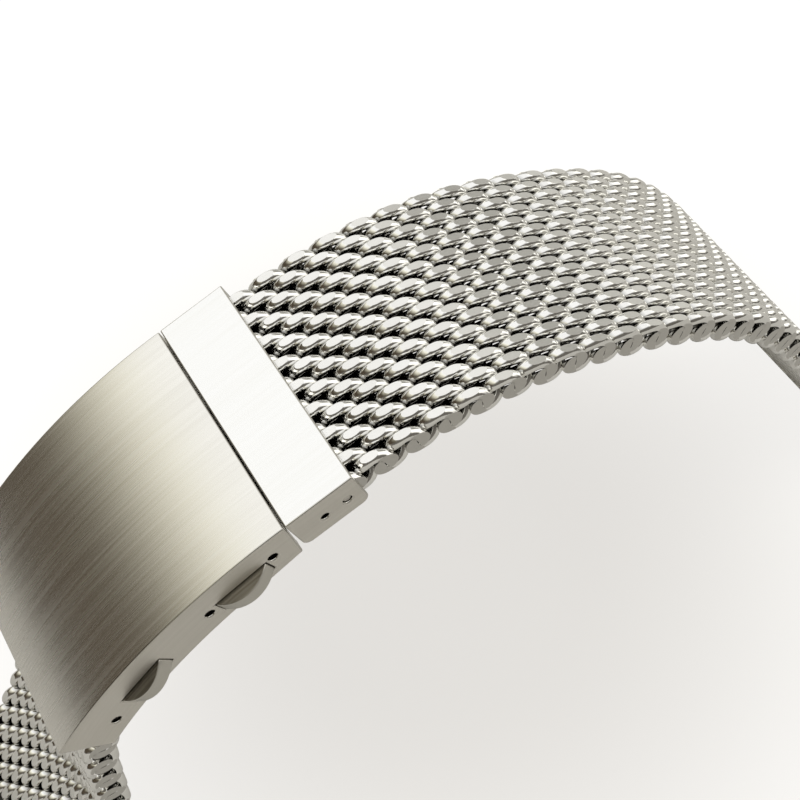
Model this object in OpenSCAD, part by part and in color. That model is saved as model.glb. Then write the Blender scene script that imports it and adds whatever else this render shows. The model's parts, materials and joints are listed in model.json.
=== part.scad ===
// Woven steel watch bracelet with a curved fold-over clasp.
// The strap runs along X, its width lies along Y and Z points up.
// The closed bracelet stands on its two strap ends, with the clasp at the upper left.
// Every coil of the mesh is one wire, wound flat and hooked through both of its neighbours.

/* [Mesh] */
// Width of the mesh over its ground edges
mesh_w = 22; // [20:0.5:24]
// Thickness of the mesh between its ground faces
mesh_t = 3.2; // [3.1:0.1:3.3]
// Step from one coil to the next along the strap
coil_step = 1.55; // [1.52:0.01:1.6]
// Turns of wire in each coil
coil_turns = 8; // [7:1:9]
// Width of a strand across its ground face
wire_w = 0.85; // [0.7:0.05:0.85]
// Depth of a strand under its ground face
wire_t = 0.5; // [0.45:0.05:0.5]
// Share of one turn that a strand advances while it crosses the top or the bottom
cross_share = 0.18; // [0.16:0.01:0.22]
// Gap between two hooked wires where they cross
link_gap = 0.08; // [0.06:0.01:0.12]

/* [Clasp] */
// How far the cover and the end block stand out beside the mesh, on each side
clasp_side = 0.55; // [0.45:0.05:0.8]
// Radius of the cover's outer face
cover_r = 48.5; // [46:0.5:52]
// Length of the cover along its outer face
cover_len = 28.9; // [28:0.1:31]
// Height of the cover's side flanges
flange_h = 5.6; // [5.3:0.1:5.8]
// Height of a flange where it meets the end block
flange_nose_h = 4.6; // [4.4:0.1:4.8]
// Thickness of the cover's top plate
cover_plate_t = 1.1; // [0.9:0.05:1.1]
// Thickness of a side flange
flange_t = 1.2; // [1:0.1:1.4]
// Distance from the seam over which a flange's lower edge slopes down
flange_ramp_len = 9.3; // [8:0.1:11]
// How far a flange's lower corner stands back from the seam
flange_back = 0.3; // [0:0.05:0.4]
// Lean of the cover at the seam, from level
seam_lean = 13.1; // [11:0.1:15]
// Gap between the cover and the end block
seam_gap = 0.15; // [0.1:0.01:0.3]
// Running gap between stacked flat pieces of the clasp
stack_gap = 0.1; // [0.08:0.01:0.15]
// Radius of the pins in the cover
cover_pin_r = 0.42; // [0.35:0.01:0.45]
// Running gap around a pin
pin_gap = 0.03; // [0.02:0.01:0.08]
// Depth of a cover pin's end below the flange face
pin_recess = 0.4; // [0.2:0.1:0.6]

/* [End block] */
// Length of the end block along the strap
block_len = 6.6; // [6.5:0.1:7.5]
// Thickness of the end block
block_t = 4.6; // [4.5:0.1:5]
// Lean of the end block, from level
block_lean = 13.8; // [12:0.1:16]
// Radius of the end block's lower corners
block_corner_r = 0.8; // [0.4:0.1:1]
// Distance of the mesh pin from the end block's mesh face
mesh_pin_inset = 1.5; // [1.4:0.05:1.6]
// Distance of the blade pin from the end block's mesh face
blade_pin_inset = 3.75; // [3.7:0.05:4]
// Depth of both pins below the top of the end block
block_pin_depth = 2.55; // [2.5:0.05:2.6]
// Radius of the mesh pins
mesh_pin_r = 0.42; // [0.3:0.02:0.44]

/* [Fold] */
// Thickness of the two folding blades
blade_t = 0.65; // [0.6:0.05:0.7]
// Width of the two folding blades
blade_w = 16.4; // [15:0.2:16.6]
// Distance from the seam to the pin that carries the middle blade
fold_pin_u = 2.46; // [2.3:0.02:2.6]
// Depth of that pin below the cover's outer face
fold_pin_v = 2.78; // [2.7:0.02:2.9]
// Distance from the seam to the pin that joins the two blades
elbow_u = 21.9; // [21.5:0.1:22]
// Width of the window in the middle blade
window_w = 13.4; // [12.8:0.2:14]
// Length of the window in the middle blade
window_len = 4.6; // [4.2:0.1:4.8]

/* [Pushers] */
// Distance from the seam to the middle of the front pushers
front_pusher_u = 6.15; // [6.1:0.05:6.2]
// Distance from the seam to the middle of the rear pushers
rear_pusher_u = 19.2; // [19:0.1:19.4]
// Length of a pusher's thumb pad
pusher_len = 5.3; // [5:0.1:5.3]
// Thickness of a pusher
pusher_t = 1.55; // [1.4:0.05:1.6]
// How far a pusher stands out of the flange
pusher_out = 1.15; // [0.9:0.05:1.3]
// Travel of a pusher
pusher_travel = 0.9; // [0.6:0.1:1]
// Distance from the seam to the pin of the front cage
front_cage_pin_u = 10.07; // [10:0.01:10.2]
// Distance from the seam to the pin of the short side's mesh
short_pin_u = 24.9; // [24.8:0.1:25.2]
// Depth of that pin below the cover's outer face
short_pin_v = 3.87; // [3.8:0.01:3.9]
// Curls in a pusher spring
spring_curls = 5; // [4:1:6]

/* [Strap ends] */
// Width of an end tube between the lugs
tube_w = 21.6; // [21:0.1:21.8]
// Outer radius of an end tube
tube_r = 1.45; // [1.35:0.05:1.6]
// Radius of a spring bar's barrel
bar_r = 0.9; // [0.85:0.05:0.95]
// Radius of a spring bar's tips
tip_r = 0.4; // [0.35:0.05:0.45]
// How far a tip stands out of its end tube
tip_out = 1.2; // [0.8:0.1:1.3]
// Thickness of a cheek that holds a mesh pin
cheek_t = 0.47; // [0.4:0.01:0.5]

/* [Hidden] */
// Counts of the woven sections, and of the coils in one section
long_sections = 19;
short_sections = 9;
section_coils = 3;
// Smoothness of round faces
$fn = 48;

// Bend of the long side: distance along the mesh from its first coil, and slope there
long_bend = [[0, 14.5], [5, 9], [12, -1.5], [18, -12], [24, -20.3], [30, -26.2],
    [36, -32.3], [42, -39.5], [48, -49.2], [54, -57.6], [60, -63.5], [66, -65], [90, -65.5]];
// Bend of the short side: distance from its first coil, and slope there
short_bend = [[0, 54], [6, 72], [9, 79.5], [13, 81.5], [17, 79], [23, 65], [29, 50], [34, 48.42], [45, 48.42]];

// Gaps and shares that follow from the sizes above
clasp_w = mesh_w + 2 * clasp_side;
cover_in_r = cover_r - cover_plate_t;
inner_half = clasp_w / 2 - flange_t;
coil_half = (coil_step + 2 * wire_t + link_gap) / 2;
turn_pitch = (mesh_w - wire_w) / (coil_turns - 0.5 + cross_share);
cross_rise = cross_share * turn_pitch;
side_rise = turn_pitch / 2 - cross_rise;
socket_gap = 0.16;
// A mesh pin runs through the end coil, on the side away from the next coil's wires
pin_shift = (2 * coil_half - wire_t - coil_step) / 2;
socket_back = coil_half - pin_shift + socket_gap;
cheek_in = mesh_w / 2 + 0.08;
cheek_r = mesh_pin_r + 0.8;
pocket_len = 1.75;

// Depths of the layers inside the cover
pusher_v = 2.9;
slot_gap = 0.1;
deep_scale = cover_r / (cover_r - pusher_v - pusher_t / 2);
middle_v = pusher_v + pusher_t + 0.2;
bottom_v = middle_v + blade_t + 0.2;
elbow_r = blade_t + 0.15;
elbow_v = middle_v + elbow_r;
knuckle_r = 0.8;
blade_pin_r = 0.36;

// Side plane geometry: u runs along the cover from the seam, v goes in from its face
function turn_dir(a) = [-sin(a), cos(a)];
function lean_at(u) = seam_lean + u / cover_r * 180 / PI;
function arc_pt(u, v) = cover_centre + (cover_r - v) * turn_dir(lean_at(u));
function along(a) = [cos(a), sin(a)];
function block_pt(x, depth) =
    arc_pt(-seam_gap, 0) + x * along(block_lean) - depth * turn_dir(block_lean);

// Paths of the two mesh sides through the middle of their thickness
function long_lean(i) = lookup(i * coil_step, long_bend);
function short_lean(i) = lookup(i * coil_step, short_bend);
function long_from(p, i) = i == 0 ? p :
    long_from(p, i - 1) + coil_step * along((long_lean(i - 1) + long_lean(i)) / 2);
function short_from(p, i) = i == 0 ? p :
    short_from(p, i - 1) - coil_step * along((short_lean(i - 1) + short_lean(i)) / 2);
function lean_reach(a) = abs(cos(a)) * coil_half + abs(sin(a)) * mesh_t / 2;

// The loop is worked out around the cover's centre, then set on the ground
long_coils = long_sections * section_coils;
short_coils = short_sections * section_coils;
tube_x = socket_back + 0.8 + tube_r - 0.25;
block_seam = cover_r * turn_dir(seam_lean - seam_gap / cover_r * 180 / PI);
long_raw = block_seam + (block_len - mesh_pin_inset) * along(block_lean)
    - block_pin_depth * turn_dir(block_lean) + pin_shift * along(long_lean(0));
short_raw = (cover_r - short_pin_v) * turn_dir(lean_at(short_pin_u))
    - pin_shift * along(short_lean(0));
long_end_lean = long_lean(long_coils - 1);
short_end_lean = short_lean(short_coils - 1);
long_tube_raw = long_from(long_raw, long_coils - 1) + (pin_shift + tube_x) * along(long_end_lean);
short_tube_raw = short_from(short_raw, short_coils - 1)
    - (pin_shift + tube_x) * along(short_end_lean);
reach_right = max(long_tube_raw[0] + tube_r, max([for (i = [0 : long_coils - 1])
    long_from(long_raw, i)[0] + lean_reach(long_lean(i))]));
reach_left = min(short_tube_raw[0] - tube_r, min([for (i = [0 : short_coils - 1])
    short_from(short_raw, i)[0] - lean_reach(short_lean(i))]));
cover_centre = [-(reach_right + reach_left) / 2,
    tube_r - min(long_tube_raw[1], short_tube_raw[1])];
long_start = cover_centre + long_raw;
short_start = cover_centre + short_raw;

function long_pt(i) = long_from(long_start, i);
function short_pt(i) = short_from(short_start, i);
long_tube = cover_centre + long_tube_raw;
short_tube = cover_centre + short_tube_raw;
long_first_pin = long_start - pin_shift * along(long_lean(0));
short_first_pin = short_start + pin_shift * along(short_lean(0));
long_last_pin = long_tube - tube_x * along(long_end_lean);
short_last_pin = short_tube + tube_x * along(short_end_lean);

function pad(n) = n < 10 ? str("0", n) : str(n);

// Places its children, drawn about the origin, at a point of the side plane
module placed(p, lean) {
    translate([p[0], 0, p[1]])
        rotate([0, -lean, 0])
            children();
}

// Stands a flat outline of the side plane up between two widths
module across(y0, y1) {
    translate([0, y1, 0])
        rotate([90, 0, 0])
            linear_extrude(height = y1 - y0)
                children();
}

// The same on both sides of the middle
module both_sides(y0, y1) {
    across(y0, y1) children();
    across(-y1, -y0) children();
}

// Round bar along Y
module round_bar(r, y0, y1) {
    translate([0, y1, 0])
        rotate([90, 0, 0])
            cylinder(r = r, h = y1 - y0);
}

// Outline of a curved plate that follows the cover between two depths
module curved_outline(u0, u1, v0, v1) {
    far = cover_r * 1.3;
    translate(cover_centre)
        intersection() {
            difference() {
                circle(r = cover_r - v0, $fn = 180);
                circle(r = cover_r - v1, $fn = 180);
            }
            polygon([[0, 0], far * turn_dir(lean_at(u0)), far * turn_dir(lean_at(u1))]);
        }
}

module pin_hole(u, v, r) {
    placed(arc_pt(u, v), 0)
        round_bar(r + pin_gap, -clasp_w, clasp_w);
}

module pusher_slot(u) {
    half_len = pusher_len / 2 + slot_gap;
    placed(arc_pt(u, pusher_v + pusher_t / 2), lean_at(u))
        translate([-half_len, -clasp_w, -pusher_t / 2 - slot_gap])
            cube([2 * half_len, 2 * clasp_w, pusher_t + 2 * slot_gap]);
}

module flange_outline() {
    difference() {
        curved_outline(0, cover_len, 0, flange_h);
        polygon([arc_pt(-2, flange_nose_h), arc_pt(flange_ramp_len, flange_h),
            arc_pt(flange_ramp_len, flange_h + 2),
            arc_pt(-2, flange_h + 2)]);
        polygon([arc_pt(-1, cover_plate_t), arc_pt(0, cover_plate_t),
            arc_pt(flange_back, flange_nose_h), arc_pt(flange_back, flange_h + 1),
            arc_pt(-1, flange_h + 1)]);
    }
}

module clasp_cover() {
    color("silver")
        difference() {
            union() {
                across(-clasp_w / 2, clasp_w / 2)
                    curved_outline(0, cover_len, 0, cover_plate_t);
                both_sides(inner_half, clasp_w / 2)
                    flange_outline();
            }
            pin_hole(fold_pin_u, fold_pin_v, cover_pin_r);
            pin_hole(front_cage_pin_u, front_cage_pin_v, cover_pin_r);
            pin_hole(short_pin_u, short_pin_v, mesh_pin_r);
            across(-cheek_in, cheek_in)
                curved_outline(short_pin_u - pocket_len, cover_len + 1, cover_plate_t, flange_h + 1);
            pusher_slot(front_pusher_u);
            pusher_slot(rear_pusher_u);
        }
}

// Pin that crosses the cover, its ends a little below the flange faces
module cover_pin(u, v) {
    color("gray")
        placed(arc_pt(u, v), 0)
            round_bar(cover_pin_r, -clasp_w / 2 + pin_recess, clasp_w / 2 - pin_recess);
}

front_cage_pin_v = 3.25;
cage_half = inner_half - stack_gap;
cage_roof_v = pusher_v - 0.15;
cage_wall_v = middle_v - 0.15;

shoulder_len = pusher_len + 0.6;
front_wall_u = front_pusher_u + shoulder_len / 2 * deep_scale + 0.1;
rear_wall_u = rear_pusher_u + shoulder_len / 2 * deep_scale + 0.1;
cage_sheet_t = 0.6;

// Folded sheet that guides a pair of pushers under the cover
module cage(u0, wall_u, u1) {
    across(-cage_half, cage_half) {
        curved_outline(u0, u1, cage_roof_v - cage_sheet_t, cage_roof_v);
        curved_outline(u0, u0 + cage_sheet_t, cover_plate_t + 0.01, cage_roof_v);
        curved_outline(wall_u, u1, cover_plate_t + 0.01, cage_wall_v);
    }
}

module front_cage() {
    color("darkgray")
        difference() {
            cage(fold_pin_u + 1.35, front_wall_u, front_cage_pin_u + 0.95);
            pin_hole(front_cage_pin_u, front_cage_pin_v, cover_pin_r);
        }
}

module rear_cage() {
    color("darkgray")
        cage(rear_pusher_u - shoulder_len / 2 * deep_scale - 0.1 - cage_sheet_t, rear_wall_u,
            rear_wall_u + cage_sheet_t);
}

// Pusher outline seen from above, drawn for the far side with the cover's middle at y = 0
pusher_in = 3.2;
post_y = 5.7;
post_w = 1;
post_len = 1.4;
module pusher_outline() {
    flange_out = clasp_w / 2;
    half_pad = pusher_len / 2;
    pad_r = (half_pad * half_pad + pusher_out * pusher_out) / (2 * pusher_out);
    intersection() {
        translate([-half_pad, inner_half - 0.4])
            square([pusher_len, flange_t + pusher_out + 0.6]);
        translate([0, flange_out + pusher_out - pad_r])
            circle(r = pad_r, $fn = 96);
    }
    translate([-shoulder_len / 2, inner_half - 1.05])
        square([shoulder_len, 0.95]);
    difference() {
        translate([-half_pad + 0.5, pusher_in])
            square([pusher_len - 1, inner_half - 1 - pusher_in]);
        translate([-1.6, post_y - post_w / 2 - 0.3])
            square([3.2, post_w + 0.6 + pusher_travel]);
    }
}

// side is 1 on the far side and -1 on the near side
module pusher(u, side) {
    color("dimgray")
        placed(arc_pt(u, pusher_v + pusher_t / 2), lean_at(u))
            translate([0, 0, -pusher_t / 2])
                linear_extrude(height = pusher_t)
                    scale_side(side)
                        pusher_outline();
}

module scale_side(side) {
    if (side > 0) {
        children();
    } else {
        mirror([0, 1])
            children();
    }
}

// Coil spring between the inner ends of a pair of pushers
spring_r = 0.6;
spring_wire_r = 0.13;
spring_steps = 8;
function spring_ring(t, half) = [for (c = [0 : 3])
    let (r = spring_r - spring_wire_r + spring_wire_r * cos(c * 90),
        y = -half + 2 * half * t / (spring_curls * spring_steps))
    [r * cos(t * 360 / spring_steps), y + spring_wire_r * sin(c * 90),
        r * sin(t * 360 / spring_steps)]];
module pusher_spring(u) {
    half = pusher_in - spring_wire_r - 0.02;
    rings = spring_curls * spring_steps;
    points = [for (t = [0 : rings]) each spring_ring(t, half)];
    sides = [for (t = [0 : rings - 1], c = [0 : 3])
        each [[4 * t + c, 4 * t + (c + 1) % 4, 4 * t + 4 + (c + 1) % 4],
            [4 * t + c, 4 * t + 4 + (c + 1) % 4, 4 * t + 4 + c]]];
    ends = [[3, 2, 1], [3, 1, 0], [4 * rings, 4 * rings + 1, 4 * rings + 2],
        [4 * rings, 4 * rings + 2, 4 * rings + 3]];
    color("lightgray")
        placed(arc_pt(u, pusher_v + pusher_t / 2), lean_at(u))
            polyhedron(points = points, faces = concat(sides, ends));
}

// Middle blade: hung on the cover near the seam, it runs to the elbow at the other end
neck_u = fold_pin_u + 0.65;
module middle_blade() {
    color("silver")
        difference() {
            union() {
                across(-blade_w / 2, blade_w / 2)
                    curved_outline(fold_pin_u - 0.2, elbow_u - elbow_r - 0.3, middle_v,
                        middle_v + blade_t);
                across(-blade_w / 2, blade_w / 2)
                    polygon([arc_pt(fold_pin_u - 0.65, fold_pin_v), arc_pt(neck_u, fold_pin_v),
                        arc_pt(neck_u, middle_v + blade_t / 2),
                        arc_pt(fold_pin_u - 0.2, middle_v + blade_t / 2)]);
                placed(arc_pt(fold_pin_u, fold_pin_v), 0)
                    round_bar(0.95, -blade_w / 2, blade_w / 2);
                both_sides(blade_w / 4, blade_w / 2)
                    curved_outline(elbow_u - 2, elbow_u, middle_v, middle_v + blade_t);
                both_sides(blade_w / 4, blade_w / 2)
                    translate(arc_pt(elbow_u, elbow_v))
                        circle(r = elbow_r);
            }
            pin_hole(fold_pin_u, fold_pin_v, cover_pin_r);
            pin_hole(elbow_u, elbow_v, blade_pin_r);
            placed(arc_pt(front_pusher_u, middle_v), lean_at(front_pusher_u))
                translate([-window_len / 2, -window_w / 2, -2])
                    cube([window_len, window_w, 4]);
            latch_post_pair(rear_pusher_u, middle_v, 0.02, 0);
        }
}

module rear_latch_posts() {
    color("gray")
        latch_post_pair(rear_pusher_u, middle_v, 0, middle_v - pusher_v - 0.2);
}

module blade_elbow_pin() {
    color("gray")
        placed(arc_pt(elbow_u, elbow_v), 0)
            round_bar(blade_pin_r, -blade_w / 2, blade_w / 2);
}

// Bottom blade: runs back from the elbow under the middle blade to the end block
arm_half = 6;
knuckle = block_pt(block_len - blade_pin_inset, block_pin_depth);
module bottom_blade() {
    heel_u = 1.5;
    color("silver")
        difference() {
            union() {
                across(-blade_w / 2, blade_w / 2)
                    curved_outline(heel_u, elbow_u - elbow_r - 0.6, bottom_v, bottom_v + blade_t);
                across(-blade_w / 4 + 0.15, blade_w / 4 - 0.15)
                    curved_outline(elbow_u - 3, elbow_u - 0.2, bottom_v - 0.15, bottom_v + blade_t);
                across(-blade_w / 4 + 0.15, blade_w / 4 - 0.15)
                    translate(arc_pt(elbow_u, elbow_v))
                        circle(r = elbow_r);
                across(-arm_half, arm_half)
                    curved_outline(-1.2, heel_u + 0.5, bottom_v, bottom_v + blade_t);
                across(-arm_half, arm_half)
                    polygon([arc_pt(0, bottom_v + blade_t / 2),
                        arc_pt(-1.9, bottom_v + blade_t - 0.1),
                        knuckle + [0.72, -0.3], knuckle + [-0.3, 0.5], knuckle + [-0.72, 0]]);
                across(-arm_half, arm_half)
                    translate(knuckle)
                        circle(r = knuckle_r);
            }
            placed(knuckle, 0)
                round_bar(blade_pin_r + pin_gap, -clasp_w, clasp_w);
            pin_hole(elbow_u, elbow_v, blade_pin_r);
            latch_post_pair(front_pusher_u, bottom_v, 0.02, 0);
        }
}

// Two posts riveted in a blade, which stand in the windows of a pair of pushers.
// With no height they are the holes for the rivets.
module latch_post_pair(u, v, gap, height) {
    for (side = [-1, 1])
        placed(arc_pt(u, v), lean_at(u))
            translate([-post_len / 2 - gap, side * post_y - post_w / 2 - gap,
                height > 0 ? -blade_t + 0.08 : -2 * blade_t])
                cube([post_len + 2 * gap, post_w + 2 * gap,
                    height > 0 ? blade_t - 0.08 + height : 3 * blade_t]);
}

module front_latch_posts() {
    color("gray")
        latch_post_pair(front_pusher_u, bottom_v, 0, bottom_v - pusher_v - 0.2);
}

// End block: closes the strap's line at the seam, between the bottom blade and the long mesh
module block_outline() {
    translate([0, -block_t + block_corner_r])
        square([block_len, block_t - block_corner_r]);
    translate([block_corner_r, -block_t])
        square([block_len - 2 * block_corner_r, block_corner_r]);
    for (x = [block_corner_r, block_len - block_corner_r])
        translate([x, -block_t + block_corner_r])
            circle(r = block_corner_r);
}

module end_block() {
    socket_top = block_pin_depth - mesh_t / 2 - 0.17;
    socket_x = block_len - mesh_pin_inset - socket_back;
    slot_half = arm_half + 0.2;
    color("gainsboro")
        placed(block_pt(0, 0), block_lean)
            difference() {
                across(-clasp_w / 2, clasp_w / 2)
                    block_outline();
                translate([socket_x, -cheek_in, -socket_top - mesh_t - 0.34])
                    cube([block_len, 2 * cheek_in, mesh_t + 0.34]);
                translate([-1, -slot_half, -block_t - 1])
                    cube([1 + socket_x + 0.01, 2 * slot_half, block_t + 1
                        - block_pin_depth + knuckle_r + 0.15]);
                translate([block_len - mesh_pin_inset, 0, -block_pin_depth])
                    round_bar(mesh_pin_r + 0.005, -clasp_w, clasp_w);
                translate([block_len - blade_pin_inset, 0, -block_pin_depth])
                    round_bar(blade_pin_r + 0.005, -clasp_w, clasp_w);
            }
}

module end_block_pin() {
    color("gray")
        placed(knuckle, 0)
            round_bar(blade_pin_r, -clasp_w / 2 + pin_recess, clasp_w / 2 - pin_recess);
}

module mesh_pin(p, half) {
    color("gray")
        placed(p, 0)
            round_bar(mesh_pin_r, -half, half);
}

// Pair of cheeks that carry a mesh pin, drawn with the pin at the origin and its back at +x
module cheeks(reach, outer) {
    both_sides(cheek_in, outer) {
        circle(r = cheek_r);
        translate([0, -cheek_r])
            square([reach, 2 * cheek_r]);
    }
}

// One coil of flattened wire, wound four corners to the turn about its own long axis.
// Odd coils start half a turn later, so that each hooks between its neighbours' strands.
corner_x = [1, -1, -1, 1];
corner_z = [1, 1, -1, -1];
function rise_at(j) = floor((j + 1) / 2) * cross_rise + floor(j / 2) * side_rise;
function coil_ring(j, start) =
    let (c = (j + start) % 4, y = rise_at(j) - mesh_w / 2 + wire_w / 2)
    [[corner_x[c] * coil_half, y - wire_w / 2, corner_z[c] * mesh_t / 2],
        [corner_x[c] * coil_half, y + wire_w / 2, corner_z[c] * mesh_t / 2],
        [corner_x[c] * (coil_half - wire_t), y, corner_z[c] * (mesh_t / 2 - wire_t)]];
module coil(i) {
    rings = 4 * coil_turns;
    points = [for (j = [0 : rings - 1]) each coil_ring(j, i % 2 == 0 ? 0 : 2)];
    sides = [for (j = [0 : rings - 2], m = [0 : 2])
        let (n = (m + 1) % 3)
        each [[3 * j + m, 3 * j + 3 + m, 3 * j + 3 + n], [3 * j + m, 3 * j + 3 + n, 3 * j + n]]];
    last = 3 * (rings - 1);
    polyhedron(points = points, faces = concat(sides, [[0, 1, 2], [last + 2, last + 1, last]]));
}

module long_mesh(section) {
    color("lightsteelblue")
        for (i = [(section - 1) * section_coils : section * section_coils - 1])
            placed(long_pt(i), long_lean(i))
                coil(i);
}

module short_mesh(section) {
    color("lightsteelblue")
        for (i = [(section - 1) * section_coils : section * section_coils - 1])
            placed(short_pt(i), short_lean(i))
                coil(i);
}

// Strap end: an end bar with cheeks for the mesh pin and a tube for the spring bar
bar_gap = 0.05;
module strap_end(p, lean) {
    color("silver")
        placed(p, lean)
            difference() {
                union() {
                    cheeks(socket_back + 0.4, cheek_in + cheek_t);
                    across(-cheek_in - cheek_t, cheek_in + cheek_t)
                        translate([socket_back, -mesh_t / 2])
                            square([0.8, mesh_t]);
                    translate([tube_x, 0, 0])
                        round_bar(tube_r, -tube_w / 2, tube_w / 2);
                }
                round_bar(mesh_pin_r + 0.005, -clasp_w, clasp_w);
                translate([tube_x, 0, 0])
                    round_bar(bar_r + bar_gap, -clasp_w, clasp_w);
            }
}

// Spring bar: barrel, two sprung tips and the spring between them
barrel_half = tube_w / 2 - 0.05;
barrel_bore = bar_r - 0.18;
neck_r = tip_r + 0.16;
lip = 0.35;
head_len = 0.9;
tip_travel = 1;
head_y = barrel_half - lip - 0.02;
module bar_barrel(p) {
    color("silver")
        placed(p, 0)
            difference() {
                round_bar(bar_r, -barrel_half, barrel_half);
                round_bar(barrel_bore, -barrel_half + lip, barrel_half - lip);
                round_bar(neck_r + 0.02, -clasp_w, clasp_w);
            }
}

module bar_tip(p, side) {
    color("gray")
        placed(p, 0)
            scale_side_3d(side)
                union() {
                    round_bar(tip_r, head_y - head_len / 2, tube_w / 2 + tip_out);
                    round_bar(neck_r, head_y - head_len / 2, barrel_half);
                    round_bar(barrel_bore - 0.03, head_y - head_len, head_y);
                }
}

module scale_side_3d(side) {
    if (side > 0) {
        children();
    } else {
        mirror([0, 1, 0])
            children();
    }
}

// Coil spring of triangular wire between the heads of the two tips
bar_spring_turns = 14;
bar_spring_steps = 8;
function wire_corner(t, half, c) =
    let (r = barrel_bore - 0.16 + 0.1 * cos(c * 120),
        y = -half + 2 * half * t / (bar_spring_turns * bar_spring_steps) + 0.1 * sin(c * 120))
    [r * cos(t * 360 / bar_spring_steps), y, r * sin(t * 360 / bar_spring_steps)];
module bar_spring(p) {
    half = head_y - head_len - 0.12;
    rings = bar_spring_turns * bar_spring_steps;
    points = [for (t = [0 : rings], c = [0 : 2]) wire_corner(t, half, c)];
    sides = [for (t = [0 : rings - 1], c = [0 : 2])
        let (d = (c + 1) % 3)
        each [[3 * t + c, 3 * t + d, 3 * t + 3 + d], [3 * t + c, 3 * t + 3 + d, 3 * t + 3 + c]]];
    color("lightgray")
        placed(p, 0)
            polyhedron(points = points,
                faces = concat(sides, [[2, 1, 0], [3 * rings, 3 * rings + 1, 3 * rings + 2]]));
}

end_pin_half = cheek_in + cheek_t;
clasp_cover();
front_cage();
cover_pin(front_cage_pin_u, front_cage_pin_v);  // front_cage_pin
rear_cage();
cover_pin(fold_pin_u, fold_pin_v);  // cover_hinge_pin
pusher(front_pusher_u, -1);  // front_pusher_near
pusher(front_pusher_u, 1);  // front_pusher_far
pusher(rear_pusher_u, -1);  // rear_pusher_near
pusher(rear_pusher_u, 1);  // rear_pusher_far
pusher_spring(front_pusher_u);  // front_pusher_spring
pusher_spring(rear_pusher_u);  // rear_pusher_spring
middle_blade();
rear_latch_posts();
blade_elbow_pin();
bottom_blade();
front_latch_posts();
end_block();
end_block_pin();
mesh_pin(long_first_pin, clasp_w / 2 - 0.15);  // long_mesh_pin
mesh_pin(short_first_pin, clasp_w / 2 - pin_recess);  // short_mesh_pin
for (s = [1 : long_sections])
    long_mesh(s);
for (s = [1 : short_sections])
    short_mesh(s);
strap_end(long_last_pin, long_end_lean);  // long_strap_end
mesh_pin(long_last_pin, end_pin_half);  // long_end_pin
bar_barrel(long_tube);  // long_bar_barrel
bar_spring(long_tube);  // long_bar_tips_spring
bar_tip(long_tube, -1);  // long_bar_tip_near
bar_tip(long_tube, 1);  // long_bar_tip_far
strap_end(short_last_pin, short_end_lean + 180);  // short_strap_end
mesh_pin(short_last_pin, end_pin_half);  // short_end_pin
bar_barrel(short_tube);  // short_bar_barrel
bar_spring(short_tube);  // short_bar_tips_spring
bar_tip(short_tube, -1);  // short_bar_tip_near
bar_tip(short_tube, 1);  // short_bar_tip_far
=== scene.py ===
import itertools
import json
import math
import bpy
import bmesh
import numpy as np
from mathutils import Matrix, Vector, geometry


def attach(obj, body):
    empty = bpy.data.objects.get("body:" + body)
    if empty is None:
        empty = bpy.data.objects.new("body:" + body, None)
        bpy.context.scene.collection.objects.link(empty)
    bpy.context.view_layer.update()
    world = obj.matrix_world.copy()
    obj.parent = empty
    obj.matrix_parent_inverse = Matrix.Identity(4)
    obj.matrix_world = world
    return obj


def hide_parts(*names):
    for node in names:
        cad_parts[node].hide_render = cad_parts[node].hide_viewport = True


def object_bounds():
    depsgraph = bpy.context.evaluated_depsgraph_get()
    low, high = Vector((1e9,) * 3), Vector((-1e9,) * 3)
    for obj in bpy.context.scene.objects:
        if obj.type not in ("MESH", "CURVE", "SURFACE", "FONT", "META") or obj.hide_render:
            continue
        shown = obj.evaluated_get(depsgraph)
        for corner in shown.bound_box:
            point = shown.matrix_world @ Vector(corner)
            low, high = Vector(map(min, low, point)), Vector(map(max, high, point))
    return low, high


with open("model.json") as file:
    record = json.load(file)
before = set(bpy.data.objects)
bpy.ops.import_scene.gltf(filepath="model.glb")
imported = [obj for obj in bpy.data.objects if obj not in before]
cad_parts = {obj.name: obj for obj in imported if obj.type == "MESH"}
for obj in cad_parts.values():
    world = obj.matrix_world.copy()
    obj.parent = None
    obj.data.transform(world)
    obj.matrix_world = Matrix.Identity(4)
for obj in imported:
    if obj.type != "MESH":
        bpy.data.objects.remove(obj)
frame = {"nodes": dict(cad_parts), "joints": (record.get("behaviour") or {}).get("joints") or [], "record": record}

mm = 0.001
scene = bpy.context.scene
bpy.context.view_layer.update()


# Node building: one link class for arithmetic, one method for every other node

class Link:
    def __init__(self, graph, socket):
        self.graph = graph
        self.socket = socket

    def out(self, name):
        return Link(self.graph, self.socket.node.outputs[name])

    def maths(self, operation, *others):
        node = self.graph.tree.nodes.new("ShaderNodeMath")
        node.operation = operation
        for slot, value in zip(node.inputs, (self, *others)):
            self.graph.plug(slot, value)
        return Link(self.graph, node.outputs[0])

    def clamp(self):
        return self.maths("MINIMUM", 1.0).maths("MAXIMUM", 0.0)

    def __add__(self, other):
        return self.maths("ADD", other)

    def __sub__(self, other):
        return self.maths("SUBTRACT", other)

    def __mul__(self, other):
        return self.maths("MULTIPLY", other)

    def __truediv__(self, other):
        return self.maths("DIVIDE", other)

    def __pow__(self, other):
        return self.maths("POWER", other)

    def __abs__(self):
        return self.maths("ABSOLUTE")

    def __gt__(self, other):
        return self.maths("GREATER_THAN", other)

    __radd__ = __add__
    __rmul__ = __mul__

    def __rsub__(self, other):
        return (self * -1.0) + other

    def __rtruediv__(self, other):
        return self.maths("POWER", -1.0) * other


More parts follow.
